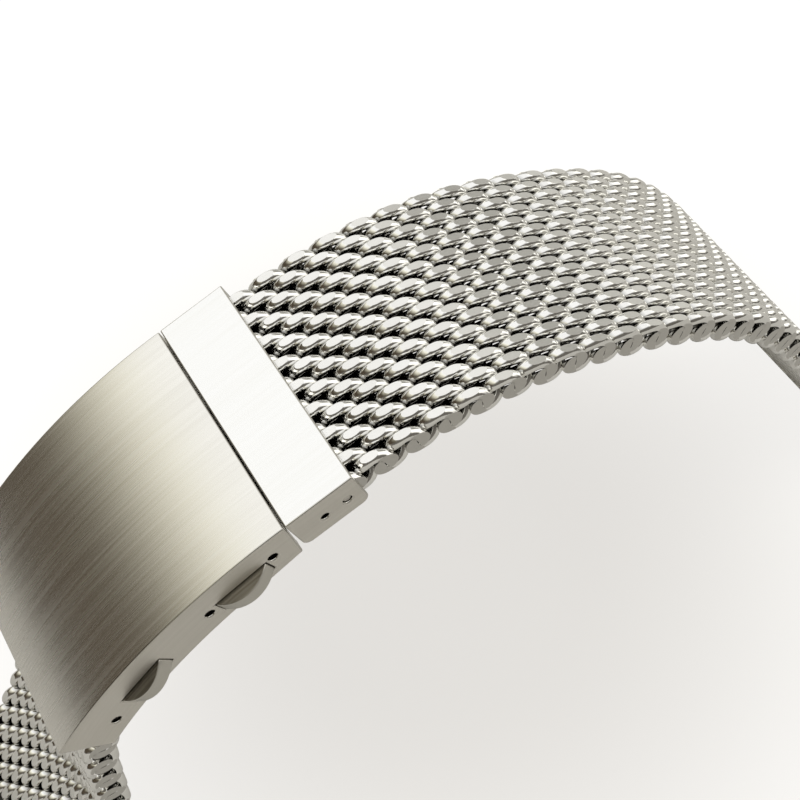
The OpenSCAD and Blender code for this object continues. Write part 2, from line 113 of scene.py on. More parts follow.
class Graph:
    def __init__(self, tree):
        self.tree = tree

    def plug(self, slot, value):
        if isinstance(value, Link):
            self.tree.links.new(value.socket, slot)
        else:
            slot.default_value = value

    def node(self, kind, settings=None, sockets=None, out=0):
        made = self.tree.nodes.new(kind)
        for name, value in (settings or {}).items():
            setattr(made, name, value)
        for name, value in (sockets or {}).items():
            for one in value if isinstance(value, list) else [value]:
                self.plug(made.inputs[name], one)
        return Link(self, made.outputs[out])


def geometryTree(name, inputs):
    # a node group with named inputs; the identifiers are returned for the modifier
    tree = bpy.data.node_groups.new(name, "GeometryNodeTree")
    keys = {}
    for label, kind in inputs.items():
        socket = tree.interface.new_socket(name=label, in_out="INPUT", socket_type="NodeSocket" + kind)
        keys[label] = socket.identifier
    tree.interface.new_socket(name="Geometry", in_out="OUTPUT", socket_type="NodeSocketGeometry")
    graph = Graph(tree)
    entry = tree.nodes.new("NodeGroupInput")
    given = {label: Link(graph, entry.outputs[label]) for label in inputs}
    return graph, given, keys


def finishTree(graph, result, material):
    whole = graph.node("GeometryNodeRealizeInstances", sockets={"Geometry": result})
    coated = graph.node("GeometryNodeSetMaterial", sockets={"Geometry": whole, "Material": material})
    graph.plug(graph.tree.nodes.new("NodeGroupOutput").inputs[0], coated)


def evaluated(piece, name):
    # plain mesh of an object with its modifiers worked out
    bpy.context.view_layer.update()
    found = bpy.data.meshes.new_from_object(piece.evaluated_get(bpy.context.evaluated_depsgraph_get()))
    found.name = name
    return found


def addObject(name, mesh):
    piece = bpy.data.objects.new(name, mesh)
    scene.collection.objects.link(piece)
    return piece


def runTree(graph, keys, name, mesh, values):
    carrier = addObject(name, mesh)
    modifier = carrier.modifiers.new(name, "NODES")
    modifier.node_group = graph.tree
    for label, value in values.items():
        modifier[keys[label]] = value
    found = evaluated(carrier, name)
    bpy.data.objects.remove(carrier)
    return found


# Camera at the photograph's viewing angle, set from the end block's top edge

cameraSettings = {
    "lens": 64.05,
    "sensor": 36,
    "clip": (0.005, 20),
    "blockLean": math.radians(13.8),
    "offset": Vector((-15.506, -65.72, 96.81)) * mm,
    "right": Vector((0.8520005, -0.5116401, -0.1109937)),
    "down": Vector((-0.4863338, -0.6949638, -0.5296270)),
    "forward": Vector((0.1938418, 0.5052224, -0.8409374)),
}


def nodePoints(node):
    data = frame["nodes"][node].data
    points = np.zeros(len(data.vertices) * 3)
    data.vertices.foreach_get("co", points)
    return points.reshape(-1, 3)


def blockCorner():
    # top edge of the end block on the mesh's side: the farthest point along and up together
    lean = cameraSettings["blockLean"]
    points = nodePoints("end_block")
    along = points[:, 0] * math.cos(lean) + points[:, 2] * math.sin(lean)
    up = points[:, 2] * math.cos(lean) - points[:, 0] * math.sin(lean)
    corner = points[np.argmax(along + up)]
    return Vector((corner[0], 0, corner[2]))


def makeCamera():
    data = bpy.data.cameras.new("camera")
    data.lens = cameraSettings["lens"]
    data.sensor_width = cameraSettings["sensor"]
    data.clip_start, data.clip_end = cameraSettings["clip"]
    camera = addObject("camera", data)
    right, down, forward = (cameraSettings[key] for key in ("right", "down", "forward"))
    turn = Matrix((right, -down, -forward)).transposed().to_4x4()
    camera.matrix_world = Matrix.Translation(blockCorner() + cameraSettings["offset"]) @ turn
    scene.camera = camera


makeCamera()
print("camera placed")


# Materials

def newMaterial(name):
    material = bpy.data.materials.new(name)
    material.use_nodes = True
    material.node_tree.nodes.clear()
    return material, Graph(material.node_tree)


def finishMaterial(graph, shader):
    graph.plug(graph.tree.nodes.new("ShaderNodeOutputMaterial").inputs["Surface"], shader)


def objectPoint(graph):
    return graph.node("ShaderNodeTexCoord").out("Object")


def mixColour(graph, factor, first, second):
    return graph.node("ShaderNodeMix", {"data_type": "RGBA"}, {0: factor, 6: first, 7: second}, out=2)


def attribute(graph, name):
    settings = {"attribute_type": "GEOMETRY", "attribute_name": name}
    return graph.node("ShaderNodeAttribute", settings).out("Fac")


def split(graph, vector):
    # ask the result for X, Y or Z
    return graph.node("ShaderNodeSeparateXYZ", sockets={0: vector})


def surfaceNormal(graph):
    return split(graph, graph.node("ShaderNodeNewGeometry").out("Normal"))


def sideways(graph, start, sharpness):
    # 1 on faces that look across the strap, 0 on its top
    return ((abs(surfaceNormal(graph).out("Y")) - start) * sharpness).clamp()


def bump(graph, distance, height):
    return graph.node("ShaderNodeBump", sockets={"Strength": 1.0, "Distance": distance, "Height": height})


def noise(graph, vector, scale, detail=3.0, roughness=0.55):
    return graph.node("ShaderNodeTexNoise", {"noise_dimensions": "3D"},
        {"Vector": vector, "Scale": scale, "Detail": detail, "Roughness": roughness}).out("Fac")


def steel(graph, colour, roughness, normal=None):
    sockets = {"Base Color": colour, "Metallic": 1.0, "Roughness": roughness}
    if normal is not None:
        sockets["Normal"] = normal
    return graph.node("ShaderNodeBsdfPrincipled", sockets=sockets)


circleFit = 0.004 * mm


def outerCircle():
    # circle of the cover's outer face: of all through three corners of its outline,
    # the one that most corners lie on
    points = nodePoints("clasp_cover")
    flat = sorted({(round(p[0], 7), round(p[2], 7)) for p in points})
    rim = np.array([flat[k] for k in geometry.convex_hull_2d([Vector(p) for p in flat])])
    best = (0, None, None)
    for a, b, c in itertools.combinations(rim, 3):
        try:
            centre = np.linalg.solve(2 * np.array([b - a, c - a]), [b @ b - a @ a, c @ c - a @ a])
        except np.linalg.LinAlgError:
            continue
        radius = np.hypot(*(a - centre))
        count = int((abs(np.hypot(*(rim - centre).T) - radius) < circleFit).sum())
        if count > best[0]:
            best = (count, centre, radius)
    return Vector((best[1][0], 0, best[1][1])), float(best[2])


claspCentre, claspRadius = outerCircle()
print("cover's circle", [round(v * 1000, 2) for v in claspCentre], round(claspRadius * 1000, 2))

brushSettings = {
    "acrossLines": 3400.0,
    "alongLines": 45.0,
    "bandScale": 0.12,
    "lineShare": 1.6,
    "bandShare": 1.2,
    "lineRoughness": 0.16,
    "bumpHeight": 0.005 * mm,
    # painted shade for the walls of the pin holes and pusher slots
    "recess": (0.025, 0.022, 0.018, 1),
    "sideLight": (0.80, 0.775, 0.72, 1),
    "sideDark": (0.72, 0.695, 0.64, 1),
    "sideFrom": 0.75,
    "sideSharpness": 5.0,
    "sideRoughness": 0.46,
}
coverLook = {"light": (0.99, 0.975, 0.93, 1), "dark": (0.84, 0.82, 0.765, 1), "roughness": 0.27}
blockLook = {"light": (1.0, 1.0, 0.985, 1), "dark": (0.95, 0.945, 0.91, 1), "roughness": 0.19}
bladeLook = {"light": (0.78, 0.77, 0.75, 1), "dark": (0.62, 0.61, 0.59, 1), "roughness": 0.24}


def brushVector(graph, lean=None):
    # (along, across, depth) for brush lines that follow the strap
    place = split(graph, objectPoint(graph))
    x, y, z = (place.out(axis) for axis in "XYZ")
    if lean is None:
        dx, dz = x - claspCentre.x, z - claspCentre.z
        along = dx.maths("ARCTAN2", dz) * claspRadius
        depth = (dx * dx + dz * dz) ** 0.5
    else:
        along = x * math.cos(lean) + z * math.sin(lean)
        depth = z * math.cos(lean) - x * math.sin(lean)
    low, high = brushSettings["alongLines"], brushSettings["acrossLines"]
    return graph.node("ShaderNodeCombineXYZ", sockets={0: along * low, 1: y * high, 2: depth * high})


def brushedSteel(name, look, lean=None, sides=False):
    # fine lines and broad bands along the strap; the sides can have a satin finish of their own
    material, graph = newMaterial(name)
    vector = brushVector(graph, lean)
    lines = noise(graph, vector, 1.0, 4.0, 0.6)
    broad = noise(graph, vector, brushSettings["bandScale"], 2.0, 0.5)
    streak = (lines - 0.5) * brushSettings["lineShare"] + (broad - 0.5) * brushSettings["bandShare"] + 0.5
    streak = streak.clamp()
    colour = mixColour(graph, streak, look["dark"], look["light"])
    rough = look["roughness"] + (lines - 0.5) * brushSettings["lineRoughness"]
    if sides:
        side = sideways(graph, brushSettings["sideFrom"], brushSettings["sideSharpness"])
        satin = mixColour(graph, streak, brushSettings["sideDark"], brushSettings["sideLight"])
        colour = mixColour(graph, side, colour, satin)
        rough = rough * (1.0 - side) + side * brushSettings["sideRoughness"]
    # painted shade: the walls of the pin holes and pusher slots are coloured near black
    colour = mixColour(graph, attribute(graph, "recess"), colour, brushSettings["recess"])
    finishMaterial(graph, steel(graph, colour, rough, bump(graph, brushSettings["bumpHeight"], lines)))
    return material


pusherLook = {
    # painted shade and reflection on the thumb face, and a painted highlight on the rim that turns away from the
    # top
    "topLight": (0.44, 0.415, 0.36, 1),
    "topDark": (0.15, 0.135, 0.11, 1),
    "rim": (0.62, 0.6, 0.55, 1),
    "lean": math.radians(28),
    "rimFrom": 0.85,
    "rimSharpness": 6.0,
    "contrast": 2.4,
    "lineRoughness": 0.1,
    "bumpHeight": 0.0075 * mm,
    "roughness": 0.34,
}


def pusherPaintedLight():
    # coarsely brushed thumb face painted dark as shade and reflection, with a brighter rim as a painted highlight
    material, graph = newMaterial("brushedPusherPaintedLight")
    lines = noise(graph, brushVector(graph), 1.0, 4.0, 0.65)
    normal, lean = surfaceNormal(graph), pusherLook["lean"]
    upward = abs(normal.out("Z") * math.cos(lean) - normal.out("X") * math.sin(lean))
    # faces that turn away from the top get the lighter rim colour: a painted highlight
    rim = ((pusherLook["rimFrom"] - upward) * pusherLook["rimSharpness"]).clamp()
    streak = ((lines - 0.5) * pusherLook["contrast"] + 0.5).clamp()
    thumb = mixColour(graph, streak, pusherLook["topDark"], pusherLook["topLight"])
    colour = mixColour(graph, rim, thumb, pusherLook["rim"])
    rough = pusherLook["roughness"] + (lines - 0.5) * pusherLook["lineRoughness"]
    finishMaterial(graph, steel(graph, colour, rough, bump(graph, pusherLook["bumpHeight"], lines)))
    return material


grainSettings = {
    "cloudScale": 180.0,
    "grainScale": 3600.0,
    "bumpHeight": 0.002 * mm,
    "grainRoughness": 0.1,
}
plainLooks = {
    "pressedCage": {"light": (0.55, 0.54, 0.52, 1), "dark": (0.42, 0.41, 0.39, 1), "roughness": 0.4},
    # painted shade: the pins are coloured dark like the shaded holes that they sit in
    "shadedPin": {"light": (0.2, 0.19, 0.17, 1), "dark": (0.12, 0.11, 0.1, 1), "roughness": 0.42},
    "flushPin": {"light": (0.72, 0.7, 0.65, 1), "dark": (0.64, 0.62, 0.57, 1), "roughness": 0.4},
    "satinEnd": {"light": (0.74, 0.73, 0.69, 1), "dark": (0.62, 0.61, 0.57, 1), "roughness": 0.26},
    "turnedBar": {"light": (0.72, 0.71, 0.69, 1), "dark": (0.58, 0.57, 0.55, 1), "roughness": 0.22},
    "springWire": {"light": (0.78, 0.77, 0.75, 1), "dark": (0.62, 0.61, 0.6, 1), "roughness": 0.16},
    "buffedRim": {"light": (0.72, 0.7, 0.65, 1), "dark": (0.6, 0.58, 0.53, 1), "roughness": 0.14},
}


def plainSteel(name):
    # drawn, turned or pressed steel with a faint grain; the pins are painted dark as the shade in their holes
    look = plainLooks[name]
    material, graph = newMaterial(name)
    place = objectPoint(graph)
    cloud = noise(graph, place, grainSettings["cloudScale"], 3.0)
    fine = noise(graph, place, grainSettings["grainScale"], 2.0)
    colour = mixColour(graph, cloud, look["dark"], look["light"])
    rough = look["roughness"] + (fine - 0.5) * grainSettings["grainRoughness"]
    finishMaterial(graph, steel(graph, colour, rough, bump(graph, grainSettings["bumpHeight"], fine)))
    return material


wireLook = {
    "polished": (0.97, 0.965, 0.94, 1),
    "polishedWorn": (0.87, 0.86, 0.825, 1),
    "ground": (0.98, 0.97, 0.94, 1),
    "groundWorn": (0.86, 0.85, 0.81, 1),
    "groundSide": (0.62, 0.605, 0.57, 1),
    "hollowShade": (0.07, 0.065, 0.055, 1),
    "polishedRoughness": 0.13,
    "groundRoughness": 0.3,
    "cloudScale": 260.0,
    "scratchScale": 5200.0,
    "scratchRoughness": 0.08,
    "cloudShare": 0.7,
    "coilShare": 0.5,
    "wearShift": -0.1,
    "scratchShare": 0.8,
    "scratchOnPolish": 0.15,
    "hollowHeight": 0.42,
    "hollowSharpness": 2.6,
    "sideFrom": 0.9,
    "sideSharpness": 12.0,
    "bumpHeight": 0.0012 * mm,
}


def meshSteel():
    # polished round wire with satin flats where the finished mesh was ground, and painted shade in the hollows
    # between the turns
    material, graph = newMaterial("milaneseWire")
    place = objectPoint(graph)
    ground, tone, height = (attribute(graph, name) for name in ("ground", "tone", "height"))
    cloud = noise(graph, place, wireLook["cloudScale"], 2.0)
    scratch = noise(graph, place, wireLook["scratchScale"], 3.0, 0.6)
    wear = (cloud * wireLook["cloudShare"] + tone * wireLook["coilShare"] + wireLook["wearShift"]).clamp()
    polished = mixColour(graph, wear, wireLook["polishedWorn"], wireLook["polished"])
    scratched = (wear + (scratch - 0.5) * wireLook["scratchShare"]).clamp()
    flats = mixColour(graph, scratched, wireLook["groundWorn"], wireLook["ground"])
    side = sideways(graph, wireLook["sideFrom"], wireLook["sideSharpness"])
    flats = mixColour(graph, side, flats, wireLook["groundSide"])
    # painted shade: the wire turns near black deep in the hollows between the turns
    unshaded = ((height - wireLook["hollowHeight"]) * wireLook["hollowSharpness"]).clamp()
    colour = mixColour(graph, unshaded, wireLook["hollowShade"], mixColour(graph, ground, polished, flats))
    wireRough, flatRough = wireLook["polishedRoughness"], wireLook["groundRoughness"]
    rough = ground * (flatRough - wireRough) + wireRough + (scratch - 0.5) * wireLook["scratchRoughness"]
    faint = wireLook["scratchOnPolish"]
    scratchHeight = scratch * (ground * (1.0 - faint) + faint)
    finishMaterial(graph, steel(graph, colour, rough, bump(graph, wireLook["bumpHeight"], scratchHeight)))
    return material


coverSteel = brushedSteel("brushedCover", coverLook, sides=True)
blockSteel = brushedSteel("brushedBlock", blockLook, lean=cameraSettings["blockLean"], sides=True)
bladeSteel = brushedSteel("brushedBlade", bladeLook)
pusherSteel = pusherPaintedLight()
cageSteel = plainSteel("pressedCage")
shadedPinSteel = plainSteel("shadedPin")
flushPinSteel = plainSteel("flushPin")
endSteel = plainSteel("satinEnd")
barSteel = plainSteel("turnedBar")
springSteel = plainSteel("springWire")
rimSteel = plainSteel("buffedRim")
wireSteel = meshSteel()
print("materials made")


# The woven mesh: round wire wound into coils, screwed through one another and ground flat

coilSettings = {
    "wireRadius": 0.57 * mm,
    "halfWidth": 1.38 * mm,
    "halfHeight": 1.2 * mm,
    "squareness": 2.0,
    "turnPitch": 2.75391 * mm,
    "sideRush": 0.8,
    "turns": 8,
    "stripWidth": 22 * mm,
    "stripThickness": 3.2 * mm,
    "edgeInset": 0.425 * mm,
    "slabLength": 12 * mm,
    "stepsPerTurn": 48,
    "wireSides": 20,
    "lead": math.pi,
    "evenStart": math.pi / 4,
    "oddStart": math.pi * 5 / 4,
    "flatCrease": 0.3,
}
weldReach = 0.001 * mm

meshNodes = [name for name in frame["nodes"] if "_mesh_" in name and name[-2:].isdigit()]
lowCorner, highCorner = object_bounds()
loopMiddle = np.array([(lowCorner.x + highCorner.x) / 2, (lowCorner.z + highCorner.z) / 2])
hinges = {joint["child"]: joint["pos_m"] for joint in frame["joints"] if joint["type"] == "hinge"}


def coilPath(graph, given):
    # place of every point along the wire: a flattened screw that runs across the strap
    index = graph.node("GeometryNodeInputIndex")
    angle = index * given["stepAngle"] + given["startAngle"] - given["leadAngle"]
    cosine, sine = angle.maths("COSINE"), angle.maths("SINE")
    power = given["squareness"]
    bulge = (abs(cosine) ** power + abs(sine) ** power) ** (-1.0 / power)

    def rushed(turned):
        # the wire climbs fast at the sides of a turn and slowly over its top
        return turned + (turned * 2.0).maths("SINE") * given["sideRush"] * 0.5

    rise = (rushed(angle) - rushed(given["startAngle"])) * given["turnPitch"] * (0.5 / math.pi)
    y = rise - given["stripWidth"] * 0.5 + given["edgeInset"]
    return graph.node("ShaderNodeCombineXYZ",
        sockets={0: cosine * given["halfWidth"] * bulge, 1: y, 2: sine * given["halfHeight"] * bulge})


def tagGround(graph, given, cut):
    # ground: 1 on faces that lie on the slab's top, bottom or side
    # height: 1 at the slab's faces and edges, less in the hollows between the turns, where the wire gets painted
    # shade
    where = split(graph, graph.node("GeometryNodeInputPosition"))
    onTop = abs(where.out("Z")) > given["stripThickness"] * 0.4999
    onSide = abs(where.out("Y")) > given["stripWidth"] * 0.49998
    tagged = graph.node("GeometryNodeStoreNamedAttribute", {"data_type": "FLOAT", "domain": "FACE"},
        {"Geometry": cut, "Name": "ground", "Value": onTop.maths("MAXIMUM", onSide)})
    half = given["stripThickness"] * 0.5
    upward = abs(where.out("Z")) / half
    sideward = (abs(where.out("Y")) - given["stripWidth"] * 0.5) / half + 1.0
    return graph.node("GeometryNodeStoreNamedAttribute", {"data_type": "FLOAT", "domain": "POINT"},
        {"Geometry": tagged, "Name": "height", "Value": upward.maths("MAXIMUM", sideward)})


def coilTree():
    # a wire swept along the path, with flats where the finished strap's slab cuts it
    graph, given, keys = geometryTree("milaneseCoil", {
        "wireRadius": "Float", "halfWidth": "Float", "halfHeight": "Float", "squareness": "Float",
        "turnPitch": "Float", "sideRush": "Float", "stripWidth": "Float", "stripThickness": "Float",
        "edgeInset": "Float", "slabLength": "Float", "startAngle": "Float", "leadAngle": "Float",
        "stepAngle": "Float", "steps": "Int", "wireSides": "Int"})
    line = graph.node("GeometryNodeMeshLine", {"mode": "OFFSET"},
        {"Count": given["steps"], "Offset": (0.0, 0.0001, 0.0)})
    wound = graph.node("GeometryNodeSetPosition",
        sockets={"Geometry": line, "Position": coilPath(graph, given)})
    curve = graph.node("GeometryNodeMeshToCurve", sockets={"Mesh": wound})
    profile = graph.node("GeometryNodeCurvePrimitiveCircle", {"mode": "RADIUS"},
        {"Resolution": given["wireSides"], "Radius": given["wireRadius"]})
    wire = graph.node("GeometryNodeCurveToMesh",
        sockets={"Curve": curve, "Profile Curve": profile, "Fill Caps": True})
    size = graph.node("ShaderNodeCombineXYZ",
        sockets={0: given["slabLength"], 1: given["stripWidth"], 2: given["stripThickness"]})
    slab = graph.node("GeometryNodeMeshCube", sockets={"Size": size})
    cut = graph.node("GeometryNodeMeshBoolean", {"operation": "INTERSECT", "solver": "EXACT"},
        {1: [wire, slab]})
    finishTree(graph, tagGround(graph, given, cut), wireSteel)
    return graph, keys


def sharpenFlats(mesh):
    # crisp edges where a ground flat meets round wire, smooth everywhere else
    work = bmesh.new()
    work.from_mesh(mesh)
    ground = work.faces.layers.float["ground"]
    for face in work.faces:
        face.smooth = True
    for edge in work.edges:
        flats = [face[ground] > 0.5 for face in edge.link_faces]
        sameFlat = all(flats) and edge.calc_face_angle(0) < coilSettings["flatCrease"]
        edge.smooth = len(flats) == 2 and (not any(flats) or sameFlat)
    work.to_mesh(mesh)
    work.free()


def makeCoils():
    graph, keys = coilTree()
    stepAngle, lead = 2 * math.pi / coilSettings["stepsPerTurn"], coilSettings["lead"]
    # the wire runs on past both edges, where the slab cuts it off
    span = 2 * lead + 2 * math.pi * (coilSettings["turns"] - 0.25)
    values = {key: value for key, value in coilSettings.items() if key in keys}
    values.update(leadAngle=lead, stepAngle=stepAngle, steps=int(span / stepAngle) + 1)
    coils = []
    for name, start in (("evenCoil", "evenStart"), ("oddCoil", "oddStart")):
        values["startAngle"] = coilSettings[start]
        mesh = runTree(graph, keys, name, bpy.data.meshes.new(name), values)
        sharpenFlats(mesh)
        coils.append(addObject(name, mesh))
        print(name, len(mesh.polygons), "faces")
    return coils


def coilFrames(node):
    # centre and lean of each coil in a CAD section, outward side up
    work = bmesh.new()
    work.from_mesh(frame["nodes"][node].data)
    bmesh.ops.remove_doubles(work, verts=work.verts, dist=weldReach)
    left = set(work.verts)
    frames = []
    while left:
        seed = left.pop()
        group, waiting = [seed], [seed]
        while waiting:
            for link in waiting.pop().link_edges:
                for vert in link.verts:
                    if vert in left:
                        left.discard(vert)
                        group.append(vert)
                        waiting.append(vert)
        points = np.array([(vert.co.x, vert.co.z) for vert in group])
        middle = points.mean(0)
        outward = np.linalg.eigh(np.cov((points - middle).T))[1][:, 1]
        if outward @ (middle - loopMiddle) < 0:
            outward = -outward
        frames.append((middle, math.atan2(-outward[0], outward[1])))
    work.free()
    return frames


def sectionTree():
    # the two coils in turn on a section's points, each with a tone of its own
    graph, given, keys = geometryTree("meshSection", {
        "Geometry": "Geometry", "evenCoil": "Object", "oddCoil": "Object", "seed": "Int"})
    lean, odd = (graph.node("GeometryNodeInputNamedAttribute", {"data_type": "FLOAT"}, {"Name": name})
        for name in ("lean", "odd"))
    turn = graph.node("FunctionNodeEulerToRotation",
        sockets={0: graph.node("ShaderNodeCombineXYZ", sockets={0: 0.0, 1: lean * -1.0, 2: 0.0})})
    placed = []
    for label, pick in (("evenCoil", 1.0 - odd), ("oddCoil", odd)):
        coil = graph.node("GeometryNodeObjectInfo", sockets={"Object": given[label]}).out("Geometry")
        placed.append(graph.node("GeometryNodeInstanceOnPoints",
            sockets={"Points": given["Geometry"], "Selection": pick, "Instance": coil, "Rotation": turn}))
    both = graph.node("GeometryNodeJoinGeometry", sockets={0: placed})
    chance = graph.node("FunctionNodeRandomValue", {"data_type": "FLOAT"},
        {"ID": graph.node("GeometryNodeInputIndex"), "Seed": given["seed"]}, out=1)
    toned = graph.node("GeometryNodeStoreNamedAttribute", {"data_type": "FLOAT", "domain": "INSTANCE"},
        {"Geometry": both, "Name": "tone", "Value": chance})
    finishTree(graph, toned, wireSteel)
    return graph, keys


def sectionPoints(name, frames, firstIndex):
    # a point for every coil, with its lean and whether it is an odd one in its side of the strap
    mesh = bpy.data.meshes.new(name)
    mesh.from_pydata([(middle[0], 0, middle[1]) for middle, _ in frames], [], [])
    for label, values in (("lean", [lean for _, lean in frames]),
            ("odd", [(firstIndex + k) % 2 for k in range(len(frames))])):
        mesh.attributes.new(label, "FLOAT", "POINT").data.foreach_set("value", [float(v) for v in values])
    return mesh


def weaveMesh():
    # coils are counted from the clasp outwards, so that they alternate across the sections too
    evenCoil, oddCoil = makeCoils()
    graph, keys = sectionTree()
    for seed, node in enumerate(sorted(meshNodes)):
        hinge = np.array(hinges[node])[[0, 2]]
        frames = sorted(coilFrames(node), key=lambda found: np.hypot(*(found[0] - hinge)))
        first = (int(node[-2:]) - 1) * len(frames)
        mesh = runTree(graph, keys, node + "_wire", sectionPoints(node, frames, first),
            {"evenCoil": evenCoil, "oddCoil": oddCoil, "seed": seed})
        piece = addObject(node + "_wire", mesh)
        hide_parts(node)
        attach(piece, node)
    for coil in (evenCoil, oddCoil):
        bpy.data.objects.remove(coil)


weaveMesh()
print("mesh woven:", len(meshNodes), "sections")


# Clasp, ends and bars: the CAD shapes with their edges broken

bodyOf = {node: body for body, nodes in frame["record"]["behaviour"]["bodies"].items() for node in nodes}
slotOf = {part["node"]: part["material_slot"] for part in frame["record"]["subparts"]}

bevelSettings = {
    "flatAngle": math.radians(0.5),
    "segments": 3,
    "fromAngle": math.radians(35),
    "normalWeight": 90,
}
edgeSettings = {
    "clasp_cover": {"width": 0.13 * mm, "steel": coverSteel, "rim": rimSteel},
    "end_block": {"width": 0.13 * mm, "steel": blockSteel, "rim": rimSteel},
    "middle_blade": {"width": 0.06 * mm, "steel": bladeSteel},
    "bottom_blade": {"width": 0.06 * mm, "steel": bladeSteel},
    "front_cage": {"width": 0.05 * mm, "steel": cageSteel},
    "rear_cage": {"width": 0.05 * mm, "steel": cageSteel},
    "long_strap_end": {"width": 0.08 * mm, "steel": endSteel},
    "short_strap_end": {"width": 0.08 * mm, "steel": endSteel},
}
for pusher in ("front_pusher_near", "front_pusher_far", "rear_pusher_near", "rear_pusher_far"):
    edgeSettings[pusher] = {"width": 0.1 * mm, "steel": pusherSteel}
edgeSettings["long_mesh_pin"] = {"width": 0.14 * mm, "steel": flushPinSteel}


def cleanCopy(node):
    # the node's triangles, merged and joined into flat faces
    work = bmesh.new()
    work.from_mesh(frame["nodes"][node].data)
    bmesh.ops.remove_doubles(work, verts=work.verts, dist=weldReach)
    bmesh.ops.dissolve_limit(work, angle_limit=bevelSettings["flatAngle"],
        verts=work.verts, edges=work.edges)
    points = [vert.co[:] for vert in work.verts]
    work.verts.index_update()
    faces = [[vert.index for vert in face.verts] for face in work.faces]
    work.free()
    mesh = bpy.data.meshes.new(node)
    mesh.from_pydata(points, [], faces)
    return mesh


recessSettings = {
    "holeReach": 0.1 * mm,
    "slotReach": 0.16 * mm,
    "slotFrom": 9.5 * mm,
}


def pinAxes():
    # (x, z, radius) of every pin, for the holes that they sit in
    axes = []
    for node in slotOf:
        if slotOf[node] == "pins":
            points = nodePoints(node)
            low, high = points.min(0), points.max(0)
            axes.append(((low[0] + high[0]) / 2, (low[2] + high[2]) / 2, (high[0] - low[0]) / 2))
    return np.array(axes)


def slotOutlines():
    # (x, z) hull of every pusher, for the slots that they slide in
    outlines = []
    for node in slotOf:
        if slotOf[node] == "pushers":
            flat = [Vector((p[0], p[2])) for p in nodePoints(node)]
            outlines.append(np.array([flat[k][:] for k in geometry.convex_hull_2d(flat)]))
    return outlines


def outlineGap(outline, spots):
    # least distance from each spot to the outline's edges
    ends = np.roll(outline, -1, axis=0)
    gaps = []
    for a, b in zip(outline, ends):
        share = np.clip(((spots - a) @ (b - a)) / max((b - a) @ (b - a), 1e-12), 0, 1)
        gaps.append(np.hypot(*(spots - a - share[:, None] * (b - a)).T))
    return np.min(gaps, axis=0)


def markRecesses(mesh, slotted):
    # walls of the pin holes and of the pusher slots, which get painted shade
    axes = pinAxes()
    outlines = slotOutlines() if slotted else []
    values = np.zeros(len(mesh.polygons), dtype=np.float32)
    points = np.array([vert.co for vert in mesh.vertices])
    for face in mesh.polygons:
        corners = points[list(face.vertices)]
        for x, z, radius in axes:
            away = np.hypot(corners[:, 0] - x, corners[:, 2] - z)
            if away.max() < radius + recessSettings["holeReach"]:
                values[face.index] = 1.0
        upright = abs(face.normal.y) < 0.5
        if slotted and upright and abs(corners[:, 1]).min() > recessSettings["slotFrom"]:
            gaps = [outlineGap(outline, corners[:, [0, 2]]).max() for outline in outlines]
            if min(gaps) < recessSettings["slotReach"]:
                values[face.index] = 1.0
    mesh.attributes.new("recess", "FLOAT", "FACE").data.foreach_set("value", values)


def breakEdges(node, settings):
    # where a rim is given, the bevels are bright and keep their width at small faces
    carrier = addObject("carrier", cleanCopy(node))
    for key in ("steel", "rim"):
        carrier.data.materials.append(settings.get(key))
    carrier.data.shade_smooth()
    bevel = carrier.modifiers.new("edges", "BEVEL")
    bevel.width = settings["width"]
    bevel.segments = bevelSettings["segments"]
    bevel.limit_method = "ANGLE"
    bevel.angle_limit = bevelSettings["fromAngle"]
    bevel.material = 1 if "rim" in settings else -1
    bevel.use_clamp_overlap = "rim" not in settings
    bevel.loop_slide = False
    carrier.modifiers.new("normals", "WEIGHTED_NORMAL").weight = bevelSettings["normalWeight"]
    mesh = evaluated(carrier, node + "_finish")
    bpy.data.objects.remove(carrier)
    markRecesses(mesh, node == "clasp_cover")
    piece = addObject(node + "_finish", mesh)
    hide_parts(node)
    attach(piece, bodyOf[node])


for node, settings in edgeSettings.items():
    breakEdges(node, settings)
print("edges broken on", len(edgeSettings), "pieces")

# the nodes that stay as they are, such as pins, springs and spring bars
slotSteels = {"pins": shadedPinSteel, "springs": springSteel, "bars": barSteel, "pushers": shadedPinSteel,
    "blades": bladeSteel, "cages": cageSteel, "ends": endSteel, "clasp": coverSteel, "mesh": wireSteel}
for node, item in frame["nodes"].items():
    item.data.materials.clear()
    item.data.materials.append(slotSteels[slotOf[node]])


# Studio: pale floor with a painted shadow under the strap, and soft light that is white overhead and dims to the
# left and right

studioSettings = {
    "floorSize": 4.0,
    # painted shadow: the floor's tone under the strap
    "floorShadow": (0.9, 0.88, 0.85, 1),
    "floorBright": (1.25, 1.24, 1.22, 1),
    "shadowMiddle": Vector((0.003, 0.002, 0)),
    "shadowReach": (0.015, 0.07),
    "floorLit": (0.64, 0.627, 0.6, 1),
    "floorGlow": 0.75,
    "frontDark": (0.14, 0.13, 0.115, 1),
    "sideBright": (1.6, 1.58, 1.5, 1),
    "backdrop": (1, 1, 0.985, 1),
    "panelFrom": 0.3,
    "panelSharpness": 4.0,
    "frontFall": 3.0,
    "frontTop": 0.5,
    "frontWall": 0.45,
    "stops": [(0.0, (0.04, 0.034, 0.025)), (0.06, (0.09, 0.07, 0.05)), (0.13, (0.06, 0.045, 0.03)),
        (0.19, (0.1, 0.085, 0.06)), (0.26, (0.62, 0.59, 0.475)), (0.32, (1.1, 1.075, 0.95)),
        (0.365, (1.15, 1.13, 1.04)), (0.39, (1.7, 1.68, 1.58)), (0.44, (1.9, 1.88, 1.8)),
        (0.56, (1.9, 1.88, 1.81)), (0.63, (1.35, 1.33, 1.26)), (0.7, (0.4, 0.39, 0.36)),
        (0.8, (0.24, 0.235, 0.21)), (0.9, (0.38, 0.37, 0.34)), (1.0, (0.95, 0.94, 0.89))],
}


